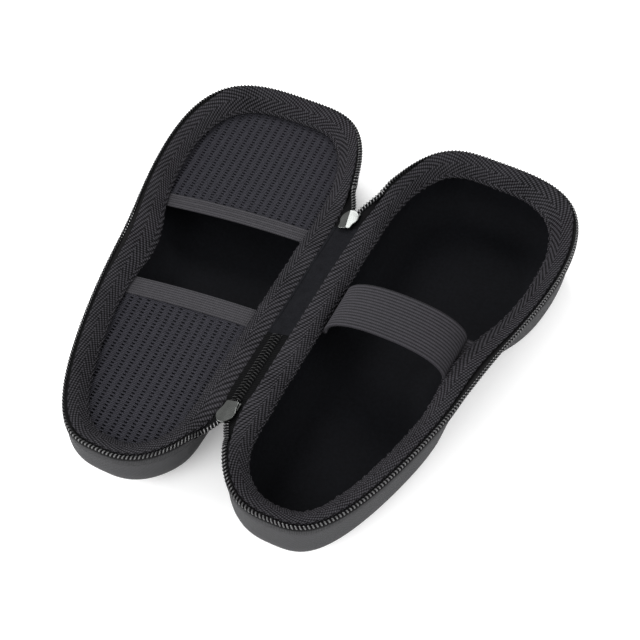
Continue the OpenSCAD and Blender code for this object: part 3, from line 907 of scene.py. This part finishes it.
def slider(name, y, turned, ridge, lean, shift):
    """Two plates, the wedge, four rims and the bridge, joined into one casting."""
    parts = [plate(f"{name}_casting", 1.9, 1.25, ridge, lean, shift)]
    parts.append(plate("lower_plate", -2.3, -1.25))
    parts.append(solid("wedge", (0.7, 7.6, 2.9), (0, 0.6, 0)))
    for side in (-1, 1):
        parts.append(solid("rim_above", (0.9, 5.6, 0.95), (side * 3.2, -0.3, 1.0)))
        parts.append(solid("rim_below", (0.9, 5.6, 0.95), (side * 3.2, -0.3, -1.0)))
        parts.append(solid("bridge_foot", (2.0, 0.9, 3.3), (0, side * 2.65, -3.75)))
    parts.append(solid("bridge_top", (2.0, 6.2, 0.9), (0, 0, -4.95)))
    for part in parts:
        round_over(part, 0.18)
    piece = assemble(parts, y, turned)
    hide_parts(name)
    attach(piece, name)


slider("lower_slider", lower_slider_y, True, ridge=0.1, lean=0.05, shift=2.2)
slider("upper_slider", upper_slider_y, False, ridge=0.6, lean=0.0, shift=-2.4)

# The pull tabs. Each is stamped from sheet, with a window at its top whose bar runs through
# the slider's bridge, and a raised border round its grip. They hang down under the zip.
grip_width, grip_wall, grip_length, grip_middle = 6, 1.2, 14.6, -10.6
pull_drop = 3.3


def select_none():
    """Clear a mesh's own selection of faces, edges and points."""
    bpy.ops.object.mode_set(mode="EDIT")
    bpy.ops.mesh.select_all(action="DESELECT")
    bpy.ops.object.mode_set(mode="OBJECT")


def pull_tab(name, body, y):
    """A bar with two arms, and a grip with a recessed face on both sides."""
    grip = solid(f"{name}_stamping", (grip_width, grip_wall, grip_length), (0, 0, grip_middle))
    select_none()
    for edge in grip.data.edges:
        ends = [grip.data.vertices[k].co for k in edge.vertices]
        edge.select = abs(ends[0].y - ends[1].y) > 1e-5 and ends[0].z < -0.01
    bpy.ops.object.mode_set(mode="EDIT")
    bpy.ops.mesh.select_mode(type="EDGE")
    bpy.ops.mesh.bevel(offset=2.6 * MM, segments=8, affect="EDGES")
    bpy.ops.mesh.select_mode(type="FACE")
    select_none()
    for face in grip.data.polygons:
        face.select = abs(face.normal.y) > 0.9
    bpy.ops.object.mode_set(mode="EDIT")
    bpy.ops.mesh.inset(thickness=0.9 * MM)
    bpy.ops.mesh.inset(thickness=0.25 * MM, depth=-0.25 * MM)
    bpy.ops.object.mode_set(mode="OBJECT")
    round_over(grip, 0.2)
    parts = [grip]
    for side in (-1, 1):
        arm = solid("arm", (1.0, grip_wall, 4.4), (side * 1.8, 0, -1.7))
        round_over(arm, 0.25)
        parts.append(arm)
    bpy.ops.object.select_all(action="DESELECT")
    bar_turn = (0, math.pi / 2, 0)
    bpy.ops.mesh.primitive_cylinder_add(vertices=20, radius=0.7 * MM, depth=4.6 * MM, rotation=bar_turn)
    bpy.ops.object.transform_apply(rotation=True)
    bar = bpy.context.object
    round_over(bar, 0.2)
    parts.append(bar)
    assemble(parts, y, drop=pull_drop)
    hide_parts(name)
    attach(grip, body)


pull_tab("lower_pull_tab", "lower_pull", lower_slider_y)
pull_tab("upper_pull_tab", "upper_pull", upper_slider_y)

# The elastic strap. A flat ribbed band of woven elastic, sewn under the collar on both
# sides of the base, bows over the space for the contents.
ribbed_elastic, run, rise, here = finish("ribbed_elastic", 0.85, specular=0.12)
cord_rib = stripes(rise, 0.00155)
knit = stripes(run, 0.0008)
fuzz = noise(here, 900.0, 2.0)
tone = cord_rib * 0.5 + knit * cord_rib * 0.2 + fuzz * 0.35
colour = tone.mix((0.003, 0.003, 0.0034), (0.042, 0.04, 0.046))
apply_look(ribbed_elastic, colour, knit * 0.4 + fuzz * 0.4 + cord_rib * 0.5, 0.00012)
strap_width, strap_wall, strap_y, strap_top = 23.5, 1.4, 0.5, 4.6
strap_rib_pitch, strap_square = 1.55, 2.3
collar_foot = -7.9
strap_floor = collar_foot - 0.2 - strap_wall / 2
strap_side = layer(turn_fine[:2000], 10.2, 10.2, collar_foot)
strap_free = np.interp(strap_y, strap_side[::-1, 1], strap_side[::-1, 0]) - 2.2
strap_hinge = wall_x + collar_width + 1.0
strap_middle, strap_reach = (strap_hinge + strap_free) / 2, (strap_free - strap_hinge) / 2
strap_rise = strap_top - strap_wall / 2 - strap_floor
strap_line = [(strap_hinge - 4.4, strap_floor), (strap_hinge - 1.6, strap_floor)]
for a in np.radians(np.linspace(180, 0, 49)):
    c, s = math.cos(a), max(math.sin(a), 0)
    out = math.copysign(abs(c) ** (2 / strap_square), c)
    up = s ** (2 / strap_square)
    strap_line.append((strap_middle + strap_reach * out, strap_floor + strap_rise * up))
strap_line += [(strap_free + 1.6, strap_floor), (strap_free + 4.2, strap_floor)]
strap_line = np.array(strap_line)
strap_run = runs(strap_line)
strap_length = strap_run[-1]


def strap_even(u, share, side):
    """A point of the strap at a share of its width, on its upper or lower face."""
    def on_line(run):
        return np.array([np.interp(run, strap_run, strap_line[:, k]) for k in range(2)])

    run = u * strap_length
    x, z = on_line(run)
    dx, dz = on_line(np.minimum(run + 0.6, strap_length)) - on_line(np.maximum(run - 0.6, 0))
    size = np.hypot(dx, dz)
    across = strap_width * (share - 0.5)
    from_edge = strap_width / 2 - np.abs(across)
    ribs = 0.09 * np.cos(across * 2 * math.pi / strap_rib_pitch) * (from_edge > 1.6)
    ribs = ribs + 0.1 * ((from_edge > 0.2) & (from_edge < 1.5))
    thick = side * (strap_wall / 2 + ribs) * rounded(from_edge, 0.6)
    points = np.column_stack([x - dz / size * thick, strap_y + across, z + dx / size * thick])
    return settle("base", points)


strap = band("elastic_strap_band", 110, 220, strap_width, strap_length, strap_even)
strap.data.materials.append(ribbed_elastic)
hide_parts("elastic_strap")
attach(strap, "base")

# The mesh pockets. An open knit, with rows of small slits that take turns, is stretched
# over each end of the lid and sewn under the collar.
pocket_knit, run, rise, here = finish("pocket_knit", 0.85, specular=0.12)
wale = stripes(run, 0.000607)
course = stripes(rise, 0.00081)
fuzz = noise(here, 800.0, 2.0)
tone = wale * course * 0.5 + course * 0.3 + fuzz * 0.4
colour = tone.mix((0.004, 0.004, 0.0055), (0.046, 0.045, 0.056))
apply_look(pocket_knit, colour, wale * 0.6 + course * 1.5 + fuzz, 0.00025)
edge_slant = 0.13
slit_spacing, course_pitch = 3.64, 0.81
cell_x, cell_y = slit_spacing / 3, course_pitch
knit_wall, knit_level, knit_sag = 0.45, -8.85, 1.1
row_slant, column_lean = 0.03, 0.07
pocket_rim = layer(turn_fine, 5.6, 5.6, -8.8)


def pocket_side(y, free):
    """Where the pocket's own edge is, under the collar, at a place y."""
    first = 3 if free else 183
    points = pocket_rim[(turn_fine > first) & (turn_fine < first + 174)]
    order = np.argsort(points[:, 1])
    return np.interp(y, points[order, 1], points[order, 0])


def pocket_mesh(name, low, high, hem_y):
    """A knitted sheet, cut to the rim, with its slits opened."""
    columns = 3 * round(100 / slit_spacing)
    rows = 2 * round((high - low + 24) / (2 * cell_y))
    sewn_y = high if hem_y < high - 5 else low

    def place(u, v):
        x = (u - 0.5) * columns * cell_x
        x = x + 0.38 * (np.rint(u * columns) % 3 == 1)
        y = low - 12 + v * rows * cell_y - row_slant * x
        x = x + column_lean * y
        left, right = pocket_side(y, False), pocket_side(y, True)
        span = np.clip((x - left) / np.maximum(right - left, 1), 0, 1)
        end = ramp(y + edge_slant * x, hem_y, sewn_y - hem_y)
        sag = knit_sag * np.sin(math.pi * span) ** 0.8 * np.sin(math.pi * end**0.7)
        return settle("lid", np.column_stack([x, y, knit_level - sag]))

    piece = cloth(name, columns, rows, (columns * cell_x * MM, rows * cell_y * MM), place)
    mesh = piece.data
    centres = np.array([face.center for face in mesh.polygons]) / MM
    x, y = lid_offset_x - centres[:, 0], centres[:, 1]
    uv = mesh.uv_layers[0].data
    cells = [np.mean([uv[k].uv for k in face.loop_indices], axis=0) for face in mesh.polygons]
    column, row = np.floor(np.array(cells).T / MM / [[cell_x], [cell_y]]).astype(int)
    along = y + edge_slant * x
    inside = (x > pocket_side(y, False)) & (x < pocket_side(y, True))
    inside = inside & (along > low) & (along < high) & (np.abs(y) < 97)
    slit = inside & (column % 3 == 0) & ((column // 3 + row) % 2 == 0)
    slit = slit & (along > low + 1.6) & (along < high - 1.6)
    bpy.ops.object.mode_set(mode="EDIT")
    bpy.ops.mesh.select_mode(type="FACE")
    select_none()
    mesh.polygons.foreach_set("select", slit)
    bpy.ops.object.mode_set(mode="EDIT")
    bpy.ops.mesh.inset(thickness=0.05 * MM, use_individual=True)
    bpy.ops.object.mode_set(mode="OBJECT")
    chosen = np.zeros(len(mesh.polygons), bool)
    mesh.polygons.foreach_get("select", chosen)
    chosen[: len(inside)] |= ~inside
    mesh.polygons.foreach_set("select", chosen)
    bpy.ops.object.mode_set(mode="EDIT")
    bpy.ops.mesh.delete(type="FACE")
    bpy.ops.object.mode_set(mode="OBJECT")
    area = sum(face.area for face in mesh.polygons)
    thicken = piece.modifiers.new("thicken", "SOLIDIFY")
    thicken.thickness = knit_wall * MM
    thicken.offset = 0
    bpy.ops.object.modifier_apply(modifier=thicken.name)
    bpy.ops.object.shade_smooth_by_angle(angle=math.radians(35))
    piece.data.materials.append(pocket_knit)
    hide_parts(name.replace("_knit", "_mesh"))
    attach(piece, "lid")
    return piece, area


tail_edge, head_edge, tail_hem, head_hem = -14.0, 27.5, 9.5, 7.5
tail_y, head_y, under_hem = tail_edge - tail_hem, head_edge + head_hem, 1.5
tail_knit, tail_area = pocket_mesh("tail_pocket_knit", -case_length / 2, tail_y + under_hem, tail_y)
head_knit, head_area = pocket_mesh("head_pocket_knit", head_y - under_hem, case_length / 2, head_y)

# The pockets' hems. A band of elastic is folded over each pocket's free edge and sewn
# down: ribbed at the head end, plain with two rows of stitches at the tail end.
hem_elastic, run, rise, here = finish("hem_elastic", 0.85, specular=0.12)
knit = stripes(run, 0.0009)
cord_rib = stripes(rise, 0.00125)
fuzz = noise(here, 900.0, 2.0)
tone = knit * 0.14 + cord_rib * 0.42 + fuzz * 0.4
colour = tone.mix((0.007, 0.0068, 0.008), (0.058, 0.056, 0.062))
apply_look(hem_elastic, colour, knit * 0.5 + cord_rib + fuzz, 0.00015)
hem_level, hem_half_wall = -8.75, 0.62
stitch_rows, stitch_depth, stitch_spread = (1.5, 2.6), 0.3, 0.22


def hem(name, low, high, bow, ribs, node):
    """A closed band along the pocket's edge, from under one side of the collar to the other."""
    middle = (low + high) / 2
    left, right = pocket_side(middle, False) + 0.3, pocket_side(middle, True) - 0.3
    width, length = high - low, (right - left) * math.hypot(1, edge_slant)

    def place(u, share, side):
        along = low + width * share
        x = left + (right - left) * u
        y = along - edge_slant * x + bow * (1 - (2 * u - 1) ** 2)
        from_edge = width / 2 - np.abs(along - middle)
        if ribs:
            relief = 0.22 * np.cos(2 * math.pi * ribs * share) * (from_edge > 0.5)
        else:
            sewn = sum(bell(along - low, stitch_row, stitch_spread) for stitch_row in stitch_rows)
            relief = -stitch_depth * sewn
        thick = (side * hem_half_wall + (side > 0) * relief) * rounded(from_edge, 0.7)
        lift = 0.5 * np.sin(math.pi * u)
        return settle("lid", np.column_stack([x, y, hem_level + lift + thick]))

    piece = band(name, 120, 96, width, length, place)
    piece.data.materials.append(hem_elastic)
    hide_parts(node)
    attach(piece, "lid")
    return piece


tail_band = hem("tail_hem_band", tail_y, tail_edge, 0.6, 0, "tail_pocket_hem")
head_band = hem("head_hem_band", head_edge, head_y, 1.2, 3, "head_pocket_hem")
